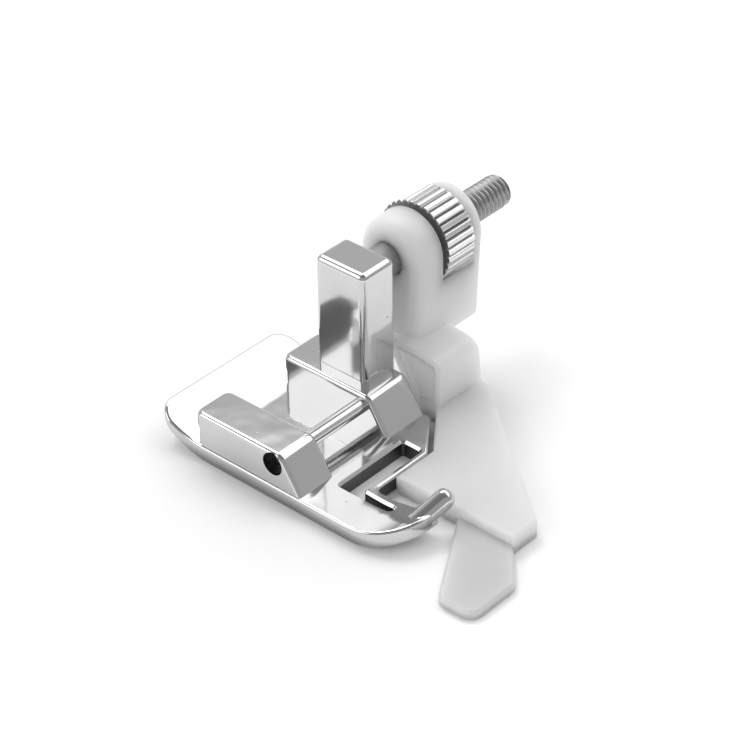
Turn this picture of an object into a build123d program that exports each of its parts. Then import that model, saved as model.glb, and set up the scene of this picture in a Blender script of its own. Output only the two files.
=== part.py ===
"""Clip-on presser foot for blind hems, with a guide that a knurled nut moves along a threaded stud.

Millimetres. X points to the operator's right, -Y to the operator, Z up.
The origin is under the middle of the snap pin, on the plane of the sole's underside.
"""

import os

from build123d import *

os.makedirs("parts", exist_ok=True)

# Fits
running_clearance = 0.06
sliding_clearance = 0.12
body_clearance = 0.4
nut_play = 0.3
nut_left_gap = 0.6

# Sole, seen from above
ear_gap = 8.5
left_ear_width = 5.65
right_block_width = 6.35
heel_y = 17.5
toe_y = -17.4
heel_corner_radius = 2.4
toe_flat = 0.9

# Sole, seen from the side
sole_thickness = 2.0
heel_bend_y = 9.2
heel_rise = 3.35
heel_edge_thickness = 1.2
toe_bend_y = -9.5
toe_rise = 1.5
toe_edge_thickness = 2.1
sole_edge_radius = 0.35
sole_under_chamfer = 0.25

# Needle slot, its slit to the front, and the narrow bar and leg round the open notch
slot_left_x = -5.1
slot_right_x = 5.2
slot_rear_y = -5.35
slot_front_y = -7.95
slot_corner_radius = 0.35
slit_front_y = -12.6
slit_rear_width = 1.0
slit_front_width = 0.75
leg_width = 1.0
bar_width = 0.9
bar_end_land = 0.1
shoulder_y = -4.75
notch_corner_radius = 0.9
rim_chamfer = 0.28

# Finger across the front of the notch
finger_radius = 1.15
finger_tip_radius = 1.0
finger_root = 1.8
finger_inset = 1.55
finger_root_z = 2.0
finger_lift = 2.0
finger_forward = 1.2
finger_clearance = 0.3

# Ears and post
ear_height = 6.2
ear_front_top_y = -1.2
ear_front_slope = 2.7
ear_front_radius = 1.4
ear_inset = 0.25
ear_rear_y = 11.7
ear_corner_radius = 1.1
ear_edge_radius = 0.55
post_width = 5.2
post_depth = 7.2
post_front_y = 0.2
post_height = 20.6
post_corner_radius = 0.8
post_top_radius = 0.75

# Snap pin
pin_diameter = 1.8
pin_below_top = 1.48
pin_recess = 0.9
pin_recess_diameter = 2.7
pin_blind_wall = 1.4
pin_end_chamfer = 0.2

# Adjusting stud
stud_diameter = 4.0
stud_axis_y = 3.9
stud_below_top = 3.0
stud_depth = 4.0
stud_end_x = 32.6
stud_end_chamfer = 0.5

# Knurled nut
nut_diameter = 10.2
nut_width = 4.4
nut_teeth = 28
nut_groove_depth = 0.38
nut_groove_turn = 45
nut_rim_chamfer = 0.35

# Guide: nut housing
housing_left_x = 13.3
housing_radius = 4.6
housing_left_wall = 4.1
housing_right_wall = 1.9
housing_bottom_z = 7.6
housing_draft = 1.0
housing_end_radius = 2.6
housing_edge_chamfer = 0.4

# Guide: neck, plate and lip
plate_lift = 0.2
plate_thickness = 2.2
plate_left_x = -0.3
plate_front_y = -25.35
plate_front_width = 3.9
plate_corner_y = -5.8
neck_left_x = 12.0
neck_right_x = 19.2
neck_draft = 1.2
neck_base_y = -4.9
neck_lean = 0.15
neck_rear_y = 2.6
neck_overlap = 1.15
neck_fall = 0.5
neck_knee_radius = 1.7
neck_wall = 3.4
neck_rim = 1.1
neck_core_depth = 2.5
plate_edge_radius = 0.4
lip_thickness = 1.0
lip_left_x = -11.6
lip_front_y = -29.2
lip_rear_y = -24.6
lip_shoulder_x = -4.7
lip_corner_radius = 1.6
lip_edge_chamfer = 0.3

# Places worked out from the sizes above
half_gap = ear_gap / 2
sole_left_x = -half_gap - left_ear_width
sole_right_x = half_gap + right_block_width
slit_rear_x = slot_left_x + slit_rear_width
slit_front_x = slot_left_x + slit_front_width
notch_left_x = slit_rear_x + leg_width
toe_corner_radius = notch_left_x - sole_left_x - toe_flat
bar_front_y = slot_front_y - bar_width
finger_root_y = toe_y + finger_inset
finger_root_x = notch_left_x - finger_root
finger_tip_x = plate_left_x - finger_clearance - finger_radius
ear_left_x = sole_left_x + ear_inset
pin_axis_z = ear_height - pin_below_top
pin_left_x = ear_left_x + pin_recess
pin_right_x = sole_right_x - pin_blind_wall
post_right_x = sole_right_x
stud_axis_z = post_height - stud_below_top
post_mid_x = post_right_x - post_width / 2
post_mid_y = post_front_y + post_depth / 2
nut_radius = nut_diameter / 2
pocket_left_x = housing_left_x + housing_left_wall
nut_left_x = pocket_left_x + nut_left_gap
pocket_right_x = nut_left_x + nut_width + nut_play
housing_right_x = pocket_right_x + housing_right_wall
pocket_radius = nut_radius + nut_play
housing_front_y = stud_axis_y - housing_radius
plate_top_z = plate_lift + plate_thickness
guide_left_x = sole_right_x + body_clearance
plate_rear_y = bar_front_y - body_clearance
reach = 2 * (heel_y - lip_front_y)
level_limit = 0.1

# Sole: its plan, cut to the bent side outline
with BuildPart() as casting:
    with BuildSketch() as sole_plan:
        with BuildLine():
            Polyline(
                (sole_left_x, toe_y),
                (sole_left_x, heel_y),
                (sole_right_x, heel_y),
                (sole_right_x, shoulder_y),
                (slot_right_x + bar_end_land, bar_front_y),
                (notch_left_x, bar_front_y),
                (notch_left_x, toe_y),
                close=True,
            )
        make_face()
        heel_corners = sole_plan.vertices().group_by(Axis.Y)[-1]
        fillet(heel_corners, heel_corner_radius)
        toe_corner = sole_plan.vertices().group_by(Axis.Y)[0].sort_by(Axis.X)[0]
        fillet(toe_corner, toe_corner_radius)
        notch_corner = sole_plan.vertices().sort_by_distance((notch_left_x, bar_front_y))[0]
        fillet(notch_corner, notch_corner_radius)
    extrude(amount=ear_height)
    with BuildSketch(Plane.YZ):
        with BuildLine():
            bottom = Line((toe_bend_y, 0), (heel_bend_y, 0))
            heel_under = TangentArc(bottom @ 1, (heel_y, heel_rise), tangent=bottom % 1)
            heel_edge = Line(heel_under @ 1, (heel_y, heel_rise + heel_edge_thickness))
            top = Line((heel_bend_y + sole_thickness / 2, sole_thickness), (toe_bend_y, sole_thickness))
            TangentArc(top @ 0, heel_edge @ 1, tangent=(1, 0))
            toe_under = TangentArc(bottom @ 0, (toe_y, toe_rise), tangent=(-1, 0))
            toe_edge = Line(toe_under @ 1, (toe_y, toe_rise + toe_edge_thickness))
            TangentArc(top @ 1, toe_edge @ 1, tangent=(-1, 0))
        make_face()
    extrude(amount=reach, both=True, mode=Mode.INTERSECT)
    upright = casting.faces().filter_by(lambda face: abs(face.normal_at().Z) < level_limit)
    outline = [face.edges().filter_by(Axis.Z, reverse=True).sort_by(Axis.Z) for face in upright]
    under_edges = [edges[0] for edges in outline]
    top_edges = [edges[-1] for edges in outline]
    fillet(top_edges, sole_edge_radius)
    chamfer(under_edges, sole_under_chamfer)

    # Needle slot through the sole, with the slit and a broken rim
    with BuildSketch() as slot_plan:
        with BuildLine():
            Polyline(
                (slot_left_x, slot_rear_y),
                (slot_right_x, slot_rear_y),
                (slot_right_x, slot_front_y),
                (slit_rear_x, slot_front_y),
                (slit_front_x, slit_front_y),
                (slot_left_x, slit_front_y),
                close=True,
            )
        make_face()
        fillet(slot_plan.vertices(), slot_corner_radius)
    extrude(amount=ear_height, mode=Mode.SUBTRACT)
    cut_edges = casting.edges(Select.LAST)
    chamfer(cut_edges.filter_by(lambda edge: edge.center().Z > sole_thickness - level_limit), rim_chamfer)

# Finger that rises across the front of the notch, with a rounded tip
finger_run = Vector(finger_tip_x - finger_root_x, -finger_forward, finger_lift)
with BuildPart() as finger:
    with BuildSketch(Plane((finger_root_x, finger_root_y, finger_root_z), z_dir=finger_run)):
        Circle(finger_radius)
    extrude(amount=finger_run.length + finger_radius)
    fillet(finger.edges().filter_by(GeomType.CIRCLE).sort_by(Axis.X)[-1], finger_tip_radius)

# Ears beside the gap, with sloping fronts
with BuildSketch(Plane.YZ) as ear_side:
    with BuildLine():
        Polyline(
            (ear_rear_y, sole_thickness / 2),
            (ear_rear_y, ear_height),
            (ear_front_top_y, ear_height),
            (ear_front_top_y - ear_front_slope, sole_thickness),
            (ear_front_top_y - ear_front_slope, sole_thickness / 2),
            close=True,
        )
    make_face()
    front_top = ear_side.vertices().sort_by_distance((ear_front_top_y, ear_height))[0]
    fillet(front_top, ear_front_radius)


def ear_rims(ear):
    upper = ear.edges().filter_by(lambda edge: edge.center().Z > sole_thickness + level_limit)
    rear_top = upper.filter_by(Axis.X).sort_by(Axis.Y)[-1]
    return [rear_top] + upper.filter_by(Axis.X, reverse=True).filter_by(Axis.Z, reverse=True)


with BuildPart() as left_ear:
    with BuildSketch(Plane.YZ.offset(ear_left_x)):
        add(ear_side.sketch_local)
    extrude(amount=left_ear_width - ear_inset)
    fillet(left_ear.edges().filter_by(Axis.Z).group_by(Axis.Y)[-1], ear_corner_radius)
    fillet(ear_rims(left_ear), ear_edge_radius)

with BuildPart() as right_block:
    with BuildSketch(Plane.YZ.offset(half_gap)):
        add(ear_side.sketch_local)
    extrude(amount=right_block_width)
    fillet(right_block.edges().filter_by(Axis.Z).group_by(Axis.Y)[-1], ear_corner_radius)
    fillet(ear_rims(right_block), ear_edge_radius)

# Post on the right block
with BuildPart() as post:
    with BuildSketch(Plane.XY.offset(sole_thickness)):
        with Locations((post_mid_x, post_mid_y)):
            RectangleRounded(post_width, post_depth, post_corner_radius)
    extrude(amount=post_height - sole_thickness)
    fillet(post.faces().sort_by(Axis.Z)[-1].edges(), post_top_radius)

# One casting, bored for the snap pin and the stud
with BuildPart() as foot_casting:
    add(casting.part)
    add(finger.part)
    add(left_ear.part)
    add(right_block.part)
    add(post.part)
    with Locations(Plane(origin=(ear_left_x, 0, pin_axis_z), z_dir=(-1, 0, 0))):
        CounterBoreHole(
            radius=pin_diameter / 2,
            counter_bore_radius=pin_recess_diameter / 2,
            counter_bore_depth=pin_recess,
            depth=pin_right_x - ear_left_x,
        )
    with Locations(Plane(origin=(post_right_x, stud_axis_y, stud_axis_z), z_dir=(1, 0, 0))):
        Hole(radius=stud_diameter / 2, depth=stud_depth)

# Snap pin between the ears
with BuildPart() as snap_pin:
    with BuildSketch(Plane.YZ.offset(pin_left_x)):
        with Locations((0, pin_axis_z)):
            Circle(pin_diameter / 2)
    extrude(amount=pin_right_x - pin_left_x)
    chamfer(snap_pin.edges().filter_by(GeomType.CIRCLE).sort_by(Axis.X)[0], pin_end_chamfer)

# Stud fixed in the post
with BuildPart() as adjusting_stud:
    with BuildSketch(Plane.YZ.offset(post_right_x - stud_depth)):
        with Locations((stud_axis_y, stud_axis_z)):
            Circle(stud_diameter / 2)
    extrude(amount=stud_end_x - post_right_x + stud_depth)
    chamfer(adjusting_stud.edges().filter_by(GeomType.CIRCLE).sort_by(Axis.X)[-1], stud_end_chamfer)

# Nut with a straight coarse knurl
with BuildPart() as adjusting_nut:
    with BuildSketch(Plane.YZ.offset(nut_left_x)):
        with Locations((stud_axis_y, stud_axis_z)):
            Circle(nut_radius)
    extrude(amount=nut_width)
    chamfer(adjusting_nut.edges().filter_by(GeomType.CIRCLE), nut_rim_chamfer)
    with BuildSketch(Plane.YZ.offset(nut_left_x)):
        with Locations((stud_axis_y, stud_axis_z)):
            Circle(stud_diameter / 2 + running_clearance)
            with PolarLocations(nut_radius, nut_teeth):
                Rectangle(2 * nut_groove_depth, 2 * nut_groove_depth, rotation=nut_groove_turn)
    extrude(amount=nut_width, mode=Mode.SUBTRACT)

# Guide: the housing round the nut
with BuildPart() as housing:
    with BuildSketch(Plane.YZ.offset(housing_left_x)):
        with Locations((stud_axis_y, stud_axis_z)):
            Circle(housing_radius)
        with Locations((stud_axis_y, (stud_axis_z + housing_bottom_z) / 2)):
            Rectangle(2 * housing_radius, stud_axis_z - housing_bottom_z)
    extrude(amount=housing_right_x - housing_left_x)
    with BuildSketch(Plane.XZ):
        with BuildLine():
            Polyline(
                (housing_right_x, stud_axis_z + housing_radius),
                (housing_right_x, housing_bottom_z),
                (housing_right_x - housing_draft, housing_bottom_z),
                close=True,
            )
        make_face()
    extrude(amount=reach, both=True, mode=Mode.SUBTRACT)
    chamfer(housing.faces().sort_by(Axis.X)[-1].edges(), housing_edge_chamfer)
    fillet(housing.faces().sort_by(Axis.X)[0].edges(), housing_end_radius)

# Guide: neck that leaves the housing as a ledge and turns down to the plate at a rounded knee
with BuildSketch(Plane.YZ) as neck_side:
    with BuildLine():
        Polyline(
            (housing_front_y, housing_bottom_z + neck_overlap),
            (neck_base_y - neck_lean, housing_bottom_z + neck_overlap - neck_fall),
            (neck_base_y, plate_lift),
            (neck_base_y + neck_wall, plate_lift),
            (neck_rear_y, housing_bottom_z),
            (neck_rear_y, housing_bottom_z + neck_overlap),
            close=True,
        )
    make_face()
    knee = neck_side.vertices().sort_by_distance((neck_base_y - neck_lean, housing_bottom_z))[0]
    fillet(knee, neck_knee_radius)

with BuildPart() as neck:
    with BuildSketch(Plane.YZ.offset(neck_left_x)):
        add(neck_side.sketch_local)
    extrude(amount=neck_right_x - neck_left_x)
    with BuildSketch(Plane.YZ.offset(neck_left_x)):
        offset(neck_side.sketch_local, amount=-neck_rim)
    extrude(amount=neck_core_depth, mode=Mode.SUBTRACT)
    with BuildSketch(Plane.XZ):
        with BuildLine():
            Polyline(
                (neck_right_x, plate_top_z),
                (neck_right_x, housing_bottom_z + 2 * neck_overlap),
                (neck_right_x - neck_draft, housing_bottom_z + 2 * neck_overlap),
                close=True,
            )
        make_face()
    extrude(amount=reach, both=True, mode=Mode.SUBTRACT)

# Guide: flat plate beside and ahead of the sole
with BuildPart() as plate:
    with BuildSketch(Plane.XY.offset(plate_lift)):
        with BuildLine():
            Polyline(
                (neck_left_x, neck_base_y + neck_wall),
                (neck_left_x, shoulder_y + body_clearance),
                (guide_left_x, shoulder_y - body_clearance),
                (slot_right_x + bar_end_land + body_clearance, plate_rear_y),
                (plate_left_x, plate_rear_y),
                (plate_left_x, plate_front_y),
                (plate_left_x + plate_front_width, plate_front_y),
                (neck_right_x, plate_corner_y),
                (neck_right_x, neck_base_y + neck_wall),
                close=True,
            )
        make_face()
    extrude(amount=plate_thickness)
    fillet(plate.faces().sort_by(Axis.Z)[-1].edges(), plate_edge_radius)

# Guide: thin lip that runs ahead of the toe
with BuildPart() as lip:
    with BuildSketch(Plane.XY.offset(plate_lift)) as lip_plan:
        with BuildLine():
            Polyline(
                (plate_left_x, toe_y - body_clearance),
                (lip_left_x, lip_rear_y),
                (lip_left_x, lip_front_y),
                (lip_shoulder_x, lip_front_y),
                (plate_left_x, plate_front_y),
                (plate_left_x + plate_front_width / 2, plate_front_y),
                (plate_left_x + plate_front_width / 2, toe_y - body_clearance),
                close=True,
            )
        make_face()
        fillet(lip_plan.vertices().sort_by(Axis.X)[:3], lip_corner_radius)
    extrude(amount=lip_thickness)
    chamfer(lip.faces().sort_by(Axis.Z)[-1].edges().group_by(Axis.X)[:-1], lip_edge_chamfer)

# Guide: one moulding, with the nut's pocket and a bore for the stud
with BuildPart() as hem_guide:
    add(housing.part)
    add(neck.part)
    add(plate.part)
    add(lip.part)
    with BuildSketch(Plane.YZ.offset(pocket_left_x)):
        with Locations((stud_axis_y, stud_axis_z)):
            Circle(pocket_radius)
    extrude(amount=pocket_right_x - pocket_left_x, mode=Mode.SUBTRACT)
    with BuildSketch(Plane.YZ.offset(housing_left_x)):
        with Locations((stud_axis_y, stud_axis_z)):
            Circle(stud_diameter / 2 + sliding_clearance)
    extrude(amount=housing_right_x - housing_left_x, mode=Mode.SUBTRACT)

foot_casting.part.label = "foot_casting"
export_step(foot_casting.part, "parts/foot_casting.step")
snap_pin.part.label = "snap_pin"
export_step(snap_pin.part, "parts/snap_pin.step")
adjusting_stud.part.label = "adjusting_stud"
export_step(adjusting_stud.part, "parts/adjusting_stud.step")
adjusting_nut.part.label = "adjusting_nut"
export_step(adjusting_nut.part, "parts/adjusting_nut.step")
hem_guide.part.label = "hem_guide"
export_step(hem_guide.part, "parts/hem_guide.step")
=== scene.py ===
import math

import bpy
import numpy as np
from mathutils import Matrix, Vector


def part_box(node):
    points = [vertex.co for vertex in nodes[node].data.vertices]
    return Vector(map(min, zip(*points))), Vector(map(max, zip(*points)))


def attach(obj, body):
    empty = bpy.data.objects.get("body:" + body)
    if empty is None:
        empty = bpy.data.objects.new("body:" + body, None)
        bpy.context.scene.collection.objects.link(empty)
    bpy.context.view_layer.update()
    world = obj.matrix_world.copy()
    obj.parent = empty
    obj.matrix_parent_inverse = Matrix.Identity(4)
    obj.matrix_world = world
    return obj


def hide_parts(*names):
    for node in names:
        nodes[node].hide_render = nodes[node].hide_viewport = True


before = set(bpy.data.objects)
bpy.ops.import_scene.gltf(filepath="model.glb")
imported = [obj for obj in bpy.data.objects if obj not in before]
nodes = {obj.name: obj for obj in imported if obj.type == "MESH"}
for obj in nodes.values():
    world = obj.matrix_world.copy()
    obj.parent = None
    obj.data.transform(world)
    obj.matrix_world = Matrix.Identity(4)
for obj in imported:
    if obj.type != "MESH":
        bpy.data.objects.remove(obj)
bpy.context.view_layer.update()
mm = 0.001
print("frame loaded:", ", ".join(sorted(nodes)))


class Wire:
    # one output socket of a finish; arithmetic with wires and numbers adds Math nodes
    def __init__(self, finish, socket):
        self.finish = finish
        self.socket = socket

    def maths(self, operation, *values):
        made = self.finish.node("ShaderNodeMath", {"operation": operation}, dict(enumerate(values)))
        return made["Value"]

    def __add__(self, other): return self.maths("ADD", self, other)
    def __radd__(self, other): return self.maths("ADD", other, self)
    def __sub__(self, other): return self.maths("SUBTRACT", self, other)
    def __rsub__(self, other): return self.maths("SUBTRACT", other, self)
    def __mul__(self, other): return self.maths("MULTIPLY", self, other)
    def __rmul__(self, other): return self.maths("MULTIPLY", other, self)
    def __pow__(self, other): return self.maths("POWER", self, other)
    def __rpow__(self, other): return self.maths("POWER", other, self)
    def __lt__(self, other): return self.maths("LESS_THAN", self, other)
    def __gt__(self, other): return self.maths("GREATER_THAN", self, other)
    def __abs__(self): return self.maths("ABSOLUTE", self)


class Finish:
    # a node tree being filled: a material's, or the world's
    def __init__(self, owner):
        owner.use_nodes = True
        self.owner = owner
        self.tree = owner.node_tree
        self.tree.nodes.clear()

    def node(self, kind, settings=None, inputs=None):
        # adds a node, gives it its settings, then links or sets its sockets; returns its outputs by name
        made = self.tree.nodes.new(kind)
        for name, value in (settings or {}).items():
            setattr(made, name, value)
        for name, value in (inputs or {}).items():
            socket = made.inputs[name]
            if isinstance(value, Wire):
                self.tree.links.new(value.socket, socket)
            else:
                socket.default_value = value
        return {out.name: Wire(self, out) for out in made.outputs if out.enabled}

    def place(self):
        return self.node("ShaderNodeTexCoord")["Object"]

    def split(self, vector):
        parts = self.node("ShaderNodeSeparateXYZ", None, {"Vector": vector})
        return parts["X"], parts["Y"], parts["Z"]

    def axes(self):
        return self.split(self.place())

    def facing(self):
        # how far the surface looks along each axis
        return self.split(self.node("ShaderNodeNewGeometry")["Normal"])

    def noise(self, size, detail=2.0, rough=0.5, stretch=None):
        # soft noise from 0 to 1 whose blobs are about size metres across
        place = self.place()
        if stretch:
            place = self.node("ShaderNodeMapping", None, {"Vector": place, "Scale": stretch})["Vector"]
        sockets = {"Vector": place, "Scale": 1 / size, "Detail": detail, "Roughness": rough}
        return self.node("ShaderNodeTexNoise", None, sockets)["Fac"]

    def band(self, value, low, high):
        # 0 below low, 1 above high, smooth between
        sockets = {"Value": value, "From Min": low, "From Max": high}
        return self.node("ShaderNodeMapRange", {"interpolation_type": "SMOOTHSTEP"}, sockets)["Result"]

    def specks(self, spacing, radius, keep):
        # small round spots: near a cell's point, and only in the cells whose random grey is under keep
        cells = self.node("ShaderNodeTexVoronoi", None, {"Vector": self.place(), "Scale": 1 / spacing})
        lot = self.node("ShaderNodeRGBToBW", None, {"Color": cells["Color"]})["Val"]
        return (1 - self.band(cells["Distance"], 0.5 * radius / spacing, radius / spacing)) * (lot < keep)

    def mix(self, factor, first, second):
        # sockets 6 and 7 are the Mix node's two colours
        sockets = {"Factor": factor, 6: first, 7: second}
        return self.node("ShaderNodeMix", {"data_type": "RGBA"}, sockets)["Result"]

    def bump(self, height):
        # height is in metres
        sockets = {"Height": height, "Distance": 1.0, "Strength": 1.0}
        return self.node("ShaderNodeBump", None, sockets)["Normal"]

    def close(self, inputs):
        shader = self.node("ShaderNodeBsdfPrincipled", None, inputs)["BSDF"]
        self.node("ShaderNodeOutputMaterial", None, {"Surface": shader})
        return self.owner


def grey(value):
    return (value, value, value, 1.0)


def fromCentre(a, b):
    return (a ** 2.0 + b ** 2.0) ** 0.5


def dress(piece, material):
    piece.data.materials.clear()
    piece.data.materials.append(material)


def newPiece(name, points, faces, crease):
    # a piece shaded smooth, with hard edges where two faces meet at more than crease degrees
    mesh = bpy.data.meshes.new(name)
    mesh.from_pydata(points.tolist(), [], faces)
    mesh.update()
    mesh.shade_smooth()
    mesh.set_sharp_from_angle(angle=math.radians(crease))
    piece = bpy.data.objects.new(name, mesh)
    bpy.context.scene.collection.objects.link(piece)
    return piece


def standFor(piece, node, body):
    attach(piece, body)
    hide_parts(node)


def smoothCopy(node, name, crease=30):
    # the CAD solid's own triangles with their equal corners merged, so that rounded edges shade as curves
    source = nodes[node].data
    points = np.empty(len(source.vertices) * 3)
    source.vertices.foreach_get("co", points)
    corners = np.empty(len(source.loops), dtype=np.int32)
    source.loops.foreach_get("vertex_index", corners)
    grain = 0.0001 * mm  # corners nearer than this are one
    keys = np.round(points.reshape(-1, 3) / grain).astype(np.int64)
    kept, twin = np.unique(keys, axis=0, return_inverse=True)
    faces = twin.reshape(-1)[corners].reshape(-1, 3)
    whole = (faces != np.roll(faces, 1, axis=1)).all(axis=1)
    piece = newPiece(name, kept * grain, faces[whole].tolist(), crease)
    even = piece.modifiers.new("evenShading", "WEIGHTED_NORMAL")
    even.keep_sharp = True
    return piece


# cross pin of ground steel, with fine rings round its own axis: z is its height, and end is its left end, which
# lies sunk in the ear's recess
pin = {"z": 4.72 * mm, "end": -8.75 * mm, "light": 0.72, "dull": 0.55, "rough": 0.08,
       "rings": 0.12 * mm, "ringStretch": (1.0, 0.05, 0.05), "ringRough": 0.08, "ringHeight": 0.004 * mm,
       "haze": 2.5 * mm, "hazeRough": 0.06, "sunkShadeGrey": 0.12, "sunkReach": 0.3 * mm}

# bright plating over a die casting: haze, soft ripples, a few pits and the mould's seam on the left edge; painted
# shade darkens the needle slot's walls and the pin's recess, and the sole's side is painted darker towards its
# foot, a painted reflection of the shadow there
plating = {"light": 0.67, "dull": 0.59, "rough": 0.05, "haze": 6 * mm, "hazeRough": 0.08,
           "ripple": 3.2 * mm, "rippleHeight": 0.02 * mm,
           "pitSpacing": 1.7 * mm, "pitRadius": 0.15 * mm, "pitShare": 0.3, "pitDepth": 0.02 * mm,
           "pitGrey": 0.12, "pitCover": 0.8, "pitRough": 0.3,
           "seamZ": 1.15 * mm, "seamEdge": (0.03 * mm, 0.09 * mm), "seamLeftOf": -9.6 * mm,
           "seamDepth": 0.02 * mm,
           "slotHalf": 5.35 * mm, "slotFront": -12.7 * mm, "slotBack": -5.25 * mm, "slotTop": 1.68 * mm,
           "recessRadius": 1.37 * mm, "recessFloor": 0.1 * mm, "recessShadeGrey": 0.13, "recessShadeRough": 0.25,
           "sideShadeTilt": 0.6, "sideShadeFade": (0.5 * mm, 1.7 * mm), "sideShadeGrey": 0.2, "sideShadeCover": 0.75,
           "sideShadeRough": 0.12}


def platedFinish():
    chrome = Finish(bpy.data.materials.new("platedCasting"))
    haze = chrome.noise(plating["haze"], detail=3.0)
    pits = chrome.specks(plating["pitSpacing"], plating["pitRadius"], plating["pitShare"])
    ripple = chrome.noise(plating["ripple"], detail=1.0)
    x, y, z = chrome.axes()
    seam = 1 - chrome.band(abs(z - plating["seamZ"]), *plating["seamEdge"])
    seam = seam * (x < plating["seamLeftOf"])
    # painted shade: the needle slot's walls and the pin's recess get a dark grey
    inSlot = (abs(x) < plating["slotHalf"]) * (y > plating["slotFront"]) * (y < plating["slotBack"])
    inSlot = inSlot * (z < plating["slotTop"])
    inRecess = x < pin["end"] + plating["recessFloor"]
    inRecess = inRecess * (fromCentre(y, z - pin["z"]) < plating["recessRadius"])
    recessShade = inSlot + inRecess
    upward = chrome.facing()[2]
    # painted shade: the sole's side is painted darker towards its foot, standing for the shadow it reflects there
    sideShade = (abs(upward) < plating["sideShadeTilt"]) * (1 - chrome.band(z, *plating["sideShadeFade"]))
    bright = chrome.mix(haze, grey(plating["light"]), grey(plating["dull"]))
    bright = chrome.mix(sideShade * plating["sideShadeCover"], bright, grey(plating["sideShadeGrey"]))
    bright = chrome.mix(pits * plating["pitCover"], bright, grey(plating["pitGrey"]))
    rough = haze * plating["hazeRough"] + plating["rough"] + pits * plating["pitRough"]
    height = ripple * plating["rippleHeight"] - pits * plating["pitDepth"] - seam * plating["seamDepth"]
    return chrome.close({
        "Base Color": chrome.mix(recessShade, bright, grey(plating["recessShadeGrey"])),
        "Metallic": 1.0,
        "Roughness": rough + recessShade * plating["recessShadeRough"] + sideShade * plating["sideShadeRough"],
        "Normal": chrome.bump(height),
    })


casting = smoothCopy("foot_casting", "platedFoot")
dress(casting, platedFinish())
standFor(casting, "foot_casting", "foot")
print("casting plated")


def pinFinish():
    steel = Finish(bpy.data.materials.new("groundPin"))
    rings = steel.noise(pin["rings"], rough=0.6, stretch=pin["ringStretch"])
    haze = steel.noise(pin["haze"])
    # painted shade: the pin's left end, sunk in the ear's recess, is painted dark grey
    sunkShade = steel.axes()[0] < pin["end"] + pin["sunkReach"]
    ground = steel.mix(rings, grey(pin["light"]), grey(pin["dull"]))
    return steel.close({
        "Base Color": steel.mix(sunkShade, ground, grey(pin["sunkShadeGrey"])),
        "Metallic": 1.0,
        "Roughness": rings * pin["ringRough"] + haze * pin["hazeRough"] + pin["rough"],
        "Normal": steel.bump(rings * pin["ringHeight"]),
    })


crossPin = smoothCopy("snap_pin", "groundPin")
dress(crossPin, pinFinish())
standFor(crossPin, "snap_pin", "foot")
print("pin dressed")


# stud: plain near the post, then a right-hand thread; form gives one pitch's root, flank and crest as (place in
# the pitch, share of the depth), and seam is where round the stud its grid starts, in turns
stud = {"axis": (3.9 * mm, 17.6 * mm), "radius": 2.0 * mm, "pitch": 0.7 * mm, "depth": 0.34 * mm,
        "form": ((0.0, 1.0), (0.16, 1.0), (0.5, 0.0), (0.66, 0.0)),
        "threadFrom": 15.2 * mm, "runOut": 0.7 * mm,
        "tip": 0.25 * mm, "tipRadius": 1.72 * mm, "shoulder": 1.92 * mm,
        "seam": 0.55, "around": 72, "crease": 35,
        "plainLight": 0.36, "plainDull": 0.28, "cutLight": 0.5, "cutDull": 0.3, "rough": 0.42, "cutSmoother": 0.2,
        "chatter": 0.2 * mm, "chatterStretch": (0.15, 1.0, 1.0), "chatterRough": 0.12,
        "chatterHeight": 0.008 * mm, "haze": 1.5 * mm, "hazeRough": 0.08}


def roundAxis(x, r, turn):
    # point = (x, axis + r * (cos, sin) of the turn)
    angle = 2 * math.pi * turn
    y = stud["axis"][0] + r * np.cos(angle)
    z = stud["axis"][1] + r * np.sin(angle)
    return np.stack(np.broadcast_arrays(x, y, z), -1).reshape(-1, 3)


def quadsBetween(lower, upper):
    # one outward quad for each step along two rows of point numbers
    quads = np.stack([lower[..., 1:], upper[..., 1:], upper[..., :-1], lower[..., :-1]], -1)
    return quads.reshape(-1, 4).tolist()


def studPiece():
    # a grid that climbs one pitch a turn, so that root and crest run along its rows: x = row's start + pitch *
    # turn, radius = full radius less depth * the row's share, faded in over the run-out; rings end it
    low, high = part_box("adjusting_stud")
    around, pitch, radius = stud["around"], stud["pitch"], stud["radius"]
    form = np.array(stud["form"])
    each = len(form)
    neck = high.x - stud["tip"]
    turns = int((neck - stud["threadFrom"]) / pitch) - 1
    row = np.arange(turns * each + 1)
    start = neck - (turns + 1) * pitch + (row // each + form[row % each, 0]) * pitch
    turn = np.arange(around) / around
    x = start[:, None] + pitch * turn
    fade = np.clip((x - start[0] - pitch) / stud["runOut"], 0, 1)
    r = radius - stud["depth"] * form[row % each, 1][:, None] * fade
    rings = ((low.x, radius), (neck, stud["shoulder"]), (high.x, stud["tipRadius"]))
    ends = [roundAxis(at, size, turn + stud["seam"]) for at, size in rings]
    points = np.concatenate([roundAxis(x, r, turn + stud["seam"])] + ends)
    grid = np.arange(len(points)).reshape(-1, around)
    thread, (back, shoulder, tip) = np.split(grid, [-len(rings)])
    climbing = np.hstack([thread[:-each], thread[each:, :1]])  # a row's last point meets the row a pitch on
    faces = quadsBetween(climbing[:-1], climbing[1:])
    faces += quadsBetween(thread[-each - 1:-1], thread[-each:])
    faces += quadsBetween(back, thread[0]) + quadsBetween(thread[-1], shoulder)
    faces += quadsBetween(np.append(shoulder, shoulder[0]), np.append(tip, tip[0]))
    # where the seam leaves the grid, one face closes it at each end, and a disc closes each end of the stud
    faces.append(np.r_[back[0], thread[:each + 1, 0], thread[0, -1], back[-1]].tolist())
    faces.append(np.r_[thread[-1, 0], shoulder[0], shoulder[-1], thread[-each - 1:, -1][::-1]].tolist())
    faces += [back[::-1].tolist(), tip.tolist()]
    return newPiece("studThread", points, faces, stud["crease"])


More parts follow.
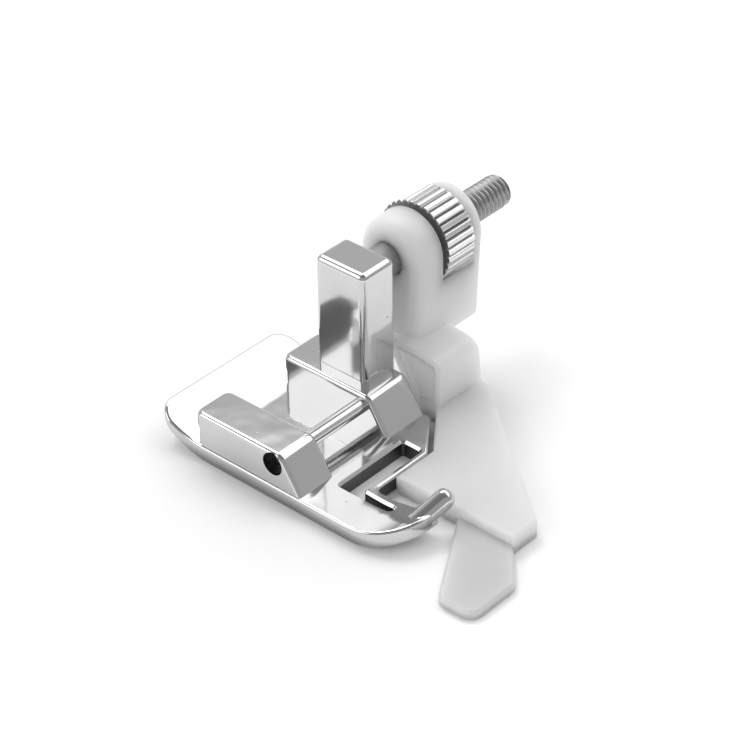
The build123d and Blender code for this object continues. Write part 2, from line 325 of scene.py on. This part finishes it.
def studFinish():
    steel = Finish(bpy.data.materials.new("machinedThread"))
    cut = steel.band(steel.axes()[0], stud["threadFrom"], stud["threadFrom"] + stud["runOut"])
    chatter = steel.noise(stud["chatter"], rough=0.6, stretch=stud["chatterStretch"])
    haze = steel.noise(stud["haze"])
    plain = steel.mix(haze, grey(stud["plainLight"]), grey(stud["plainDull"]))
    thread = steel.mix(chatter, grey(stud["cutLight"]), grey(stud["cutDull"]))
    rough = chatter * stud["chatterRough"] + haze * stud["hazeRough"] + stud["rough"]
    return steel.close({
        "Base Color": steel.mix(cut, plain, thread),
        "Metallic": 1.0,
        "Roughness": rough - cut * stud["cutSmoother"],
        "Normal": steel.bump(chatter * stud["chatterHeight"]),
    })


threaded = studPiece()
dress(threaded, studFinish())
standFor(threaded, "adjusting_stud", "foot")
print("stud threaded")


# nut: broad flat ridges with narrow V grooves between them, run out at a plain bevel on each rim; the grooves are
# painted darker as shade, ridgeTopBand is how far under the ridges' tops the brighter metal starts and is full,
# and the end faces are painted dark as shade
knurl = {"radius": 5.06 * mm, "bore": 2.06 * mm, "ridges": 32, "perRidge": 14, "groove": 0.4 * mm,
         "grooveShare": 0.5, "rim": 0.08 * mm, "crease": 24,
         "light": 0.8, "dull": 0.66, "grooveShadeGrey": 0.42, "endShadeGrey": 0.2, "endShadeFacing": 0.8,
         "ridgeTopBand": (0.3 * mm, 0.06 * mm), "ridgeTopSmoother": 0.16, "rough": 0.3,
         "scuff": 0.25 * mm, "scuffRough": 0.08, "scuffHeight": 0.006 * mm, "haze": 1.2 * mm, "hazeRough": 0.1}


def nutPiece():
    # radius = least of the bevel's cone and the full radius less a V of the turn; the bore closes the section
    low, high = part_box("adjusting_nut")
    rim = knurl["rim"]
    x = np.array([low.x, low.x, low.x + rim, high.x - rim, high.x, high.x])
    count = knurl["ridges"] * knurl["perRidge"]
    phase = np.arange(count) / knurl["perRidge"] % 1.0
    vee = np.clip(1 - 2 * np.minimum(phase, 1 - phase) / knurl["grooveShare"], 0, 1)
    cone = knurl["radius"] - rim + np.minimum(x - low.x, high.x - x)
    r = np.minimum(cone[:, None], knurl["radius"] - knurl["groove"] * vee)
    r[[0, -1]] = knurl["bore"]
    points = roundAxis(x[:, None], r, np.arange(count) / count)
    grid = np.arange(len(points)).reshape(-1, count)
    section = np.hstack([grid, grid[:, :1]])
    faces = quadsBetween(section, np.roll(section, -1, axis=0))
    return newPiece("knurledNut", points, faces, knurl["crease"])


def nutFinish():
    bright = Finish(bpy.data.materials.new("brightKnurl"))
    haze = bright.noise(knurl["haze"])
    scuff = bright.noise(knurl["scuff"], rough=0.6)
    y, z = bright.axes()[1:]
    fromAxis = fromCentre(y - stud["axis"][0], z - stud["axis"][1])
    # painted shadow: the nut's end faces, in the gap beside the housing, are painted dark grey
    side = abs(bright.facing()[0]) > knurl["endShadeFacing"]
    # painted shade: below the ridges' tops the grooves take a darker grey
    ridgeTop = bright.band(fromAxis, *(knurl["radius"] - under for under in knurl["ridgeTopBand"]))
    tops = bright.mix(scuff, grey(knurl["light"]), grey(knurl["dull"]))
    ridged = bright.mix(ridgeTop, grey(knurl["grooveShadeGrey"]), tops)
    rough = haze * knurl["hazeRough"] + scuff * knurl["scuffRough"] + knurl["rough"]
    return bright.close({
        "Base Color": bright.mix(side, ridged, grey(knurl["endShadeGrey"])),
        "Metallic": 1.0,
        "Roughness": rough - ridgeTop * knurl["ridgeTopSmoother"],
        "Normal": bright.bump(scuff * knurl["scuffHeight"]),
    })


knurled = nutPiece()
dress(knurled, nutFinish())
standFor(knurled, "adjusting_nut", "nut")
print("nut knurled")


# guide: milky plastic; core is the hollow in the neck's left side, and end is the housing's rounded left end
milky = {"light": 0.82, "deep": 0.77, "rough": 0.26, "glow": 1.0, "reach": 6.0 * mm, "ior": 1.49,
         "cloud": 5 * mm, "cloudRough": 0.08, "cloudHeight": 0.03 * mm,
         "grain": 0.35 * mm, "grainRough": 0.12, "grainHeight": 0.004 * mm,
         "dustSpacing": 4.2 * mm, "dustRadius": 0.12 * mm, "dustShare": 0.1, "dustGrey": 0.2, "dustCover": 0.7,
         "coreFloor": 14.5 * mm, "coreTo": 12.5 * mm, "coreRise": 1.2 * mm, "coreBack": 2.7 * mm,
         "endX": 13.3 * mm, "endRadius": 2.6 * mm, "half": 4.6 * mm, "low": 7.6 * mm,
         "endPower": 3.0, "footPower": 9.0, "slack": 0.01 * mm}


def milkyFinish():
    plastic = Finish(bpy.data.materials.new("milkyPlastic"))
    cloud = plastic.noise(milky["cloud"])
    grain = plastic.noise(milky["grain"], rough=0.6)
    dust = plastic.specks(milky["dustSpacing"], milky["dustRadius"], milky["dustShare"])
    body = plastic.mix(cloud, grey(milky["light"]), grey(milky["deep"]))
    return plastic.close({
        "Base Color": plastic.mix(dust * milky["dustCover"], body, grey(milky["dustGrey"])),
        "Roughness": grain * milky["grainRough"] + cloud * milky["cloudRough"] + milky["rough"],
        "Subsurface Weight": milky["glow"],
        "Subsurface Radius": (1.0, 1.0, 1.0),
        "Subsurface Scale": milky["reach"],
        "IOR": milky["ior"],
        "Normal": plastic.bump(grain * milky["grainHeight"] + cloud * milky["cloudHeight"]),
    })


tiny = 1e-9  # keeps a division from 0


def stretch(along, off, power):
    # from a circle to a fuller curve on the same radius: (u^2 + w^2)^(1/2) / (u^p + w^p)^(1/p)
    fuller = (along ** power + off ** power) ** (1 / power)
    return np.sqrt(along ** 2 + off ** 2) / np.maximum(fuller, tiny)


def fullerGuide():
    # the copy keeps every face of the solid; the core in the neck's left side is shallower, and the housing's
    # rounded left end is drawn out along its own radii, with u along the axis, w out to the side and b downwards
    piece = smoothCopy("hem_guide", "milkyGuide")
    points = np.empty(len(piece.data.vertices) * 3)
    piece.data.vertices.foreach_get("co", points)
    x, y, z = points.reshape(-1, 3).T.copy()
    low, half, slack = milky["low"], milky["half"], milky["slack"]
    cored = np.abs(x - milky["coreFloor"]) < slack
    cored &= (z < low + milky["coreRise"]) & (y < milky["coreBack"])
    x[cored] = milky["coreTo"]
    axisY, axisZ = stud["axis"]
    end, r, side = milky["endX"], milky["endRadius"], half - milky["endRadius"]
    out = np.where(z >= axisZ, np.hypot(y - axisY, z - axisZ), np.abs(y - axisY))
    u = np.clip((end + r - x) / r, 0, 1)
    w = np.clip((out - side) / r, 0, 1)
    b = np.clip((low + r - z) / r, 0, 1)
    atEnd = (x < end + r) & (x > end - slack) & (z > low - slack) & (out < half + slack)
    under = atEnd & (b > w)
    across = atEnd & ~under & (w > 0)
    k = np.where(under, stretch(u, b, milky["footPower"]), stretch(u, w, milky["endPower"]))
    x = np.where(under | across, end + r - r * np.minimum(u * k, 1), x)
    z = np.where(under, low + r - r * np.minimum(b * k, 1), z)
    grow = np.where(across, (side + r * np.minimum(w * k, 1)) / np.maximum(out, tiny), 1)
    y = axisY + (y - axisY) * grow
    z = np.where(across & (z >= axisZ), axisZ + (z - axisZ) * grow, z)
    piece.data.vertices.foreach_set("co", np.stack([x, y, z], -1).reshape(-1))
    piece.data.update()
    return piece


guide = fullerGuide()
dress(guide, milkyFinish())
standFor(guide, "hem_guide", "guide")
print("guide dressed")


# pale floor: it gives a little light of its own to the camera and to reflections, and none close in, so that the
# contact shadow stays deep
floorLook = {"half": 0.6, "grey": 0.92, "lift": 0.22, "liftFrom": 8 * mm, "liftTo": 45 * mm}


def layFloor():
    # a flat square at z = 0
    half = floorLook["half"]
    corners = [(-half, -half, 0), (half, -half, 0), (half, half, 0), (-half, half, 0)]
    mesh = bpy.data.meshes.new("floor")
    mesh.from_pydata(corners, [], [(0, 1, 2, 3)])
    floor = bpy.data.objects.new("floor", mesh)
    bpy.context.scene.collection.objects.link(floor)
    look = Finish(bpy.data.materials.new("paleFloor"))
    path = look.node("ShaderNodeLightPath")
    seen = path["Is Camera Ray"] + path["Is Glossy Ray"]
    x, y = look.axes()[:2]
    clear = look.band(fromCentre(x, y), floorLook["liftFrom"], floorLook["liftTo"])
    ownLight = {"Color": grey(1.0), "Strength": seen * clear * floorLook["lift"]}
    lift = look.node("ShaderNodeEmission", None, ownLight)["Emission"]
    paint = look.node("ShaderNodeBsdfDiffuse", None, {"Color": grey(floorLook["grey"])})["BSDF"]
    both = look.node("ShaderNodeAddShader", None, {0: lift, 1: paint})["Shader"]
    look.node("ShaderNodeOutputMaterial", None, {"Surface": both})
    dress(floor, look.owner)


layFloor()
print("floor laid")

# soft studio: a dim room that grows lighter away from the camera, a bright lid on the right, a lit sweep low
# behind and a panel on the left behind; each pair is where a part starts and is full
studio = {"near": 0.46, "far": 0.6, "awayWay": (0.74, 0.67), "away": (-0.6, 0.5),
          "ceiling": 0.5, "ceilingRise": (0.62, 0.82),
          "lid": 1.6, "lidRise": (0.59, 0.65), "lidSide": (0.15, 0.45),
          "sweep": 0.35, "sweepTop": (0.3, 0.48), "sweepBack": (0.25, 0.65), "sweepSide": (-0.2, 0.3),
          "panel": 1.6, "panelWay": (-0.66, 0.55, 0.5), "panelEdge": (0.93, 0.98),
          "lampReach": 0.6}

# the lamps: way to them, size in metres, watts, and whether the plating shows them
lamps = {"softBox": ((0.14, 0.5, 0.85), 0.2, 0.9, True),
         "sideFill": ((-0.72, -0.02, 0.55), 0.3, 0.5, False)}


def lightStudio():
    world = Finish(bpy.data.worlds.new("studio"))
    seen = world.node("ShaderNodeLightPath")["Is Camera Ray"]
    x, y, z = world.split(world.node("ShaderNodeTexCoord")["Generated"])
    awayX, awayY = studio["awayWay"]
    away = world.band(x * awayX + y * awayY, *studio["away"])
    dim = 1 - world.band(z, *studio["ceilingRise"]) * (1 - studio["ceiling"])
    room = (away * (studio["far"] - studio["near"]) + studio["near"]) * dim
    lid = world.band(z, *studio["lidRise"]) * world.band(x, *studio["lidSide"]) * studio["lid"]
    sweep = (1 - world.band(z, *studio["sweepTop"])) * world.band(y, *studio["sweepBack"]) * studio["sweep"]
    sweep = sweep * world.band(x, *studio["sweepSide"])
    panelX, panelY, panelZ = Vector(studio["panelWay"]).normalized()
    panel = world.band(x * panelX + y * panelY + z * panelZ, *studio["panelEdge"]) * studio["panel"]
    light = {"Color": grey(1.0), "Strength": seen + (1 - seen) * (room + lid + sweep + panel)}
    back = world.node("ShaderNodeBackground", None, light)["Background"]
    world.node("ShaderNodeOutputWorld", None, {"Surface": back})
    bpy.context.scene.world = world.owner
    for name, (towards, size, watts, mirrored) in lamps.items():
        lamp = bpy.data.lights.new(name, "AREA")
        lamp.size = size
        lamp.energy = watts
        box = bpy.data.objects.new(name, lamp)
        box.visible_glossy = mirrored
        way = Vector(towards).normalized()
        box.location = way * studio["lampReach"]
        box.rotation_euler = way.to_track_quat("Z", "Y").to_euler()
        bpy.context.scene.collection.objects.link(box)


lightStudio()
print("studio lit")

# camera fitted to the photograph: turned round the origin, then shifted in its own plane; sensor and lens in mm
view = {"azimuth": -47.93, "elevation": 35.39, "roll": -0.86, "right": 4.413 * mm, "up": 9.045 * mm,
        "distance": 283.77 * mm, "sensor": 36, "lens": 124.8, "nearest": 0.01}


def setCamera():
    a, e, r = (math.radians(view[k]) for k in ("azimuth", "elevation", "roll"))
    back = Vector((math.sin(a) * math.cos(e), -math.cos(a) * math.cos(e), math.sin(e)))
    level = Vector((math.cos(a), math.sin(a), 0))
    rise = back.cross(level)
    right = math.cos(r) * level + math.sin(r) * rise
    up = math.cos(r) * rise - math.sin(r) * level
    lens = bpy.data.cameras.new("photoView")
    lens.sensor_width = view["sensor"]
    lens.lens = view["lens"]
    lens.clip_start = view["nearest"]
    camera = bpy.data.objects.new("photoView", lens)
    turn = Matrix((right, up, back)).transposed().to_4x4()
    spot = back * view["distance"] + right * view["right"] + up * view["up"]
    camera.matrix_world = Matrix.Translation(spot) @ turn
    bpy.context.scene.collection.objects.link(camera)
    bpy.context.scene.camera = camera


setCamera()
bpy.context.scene.view_settings.view_transform = "Standard"
print("camera set")
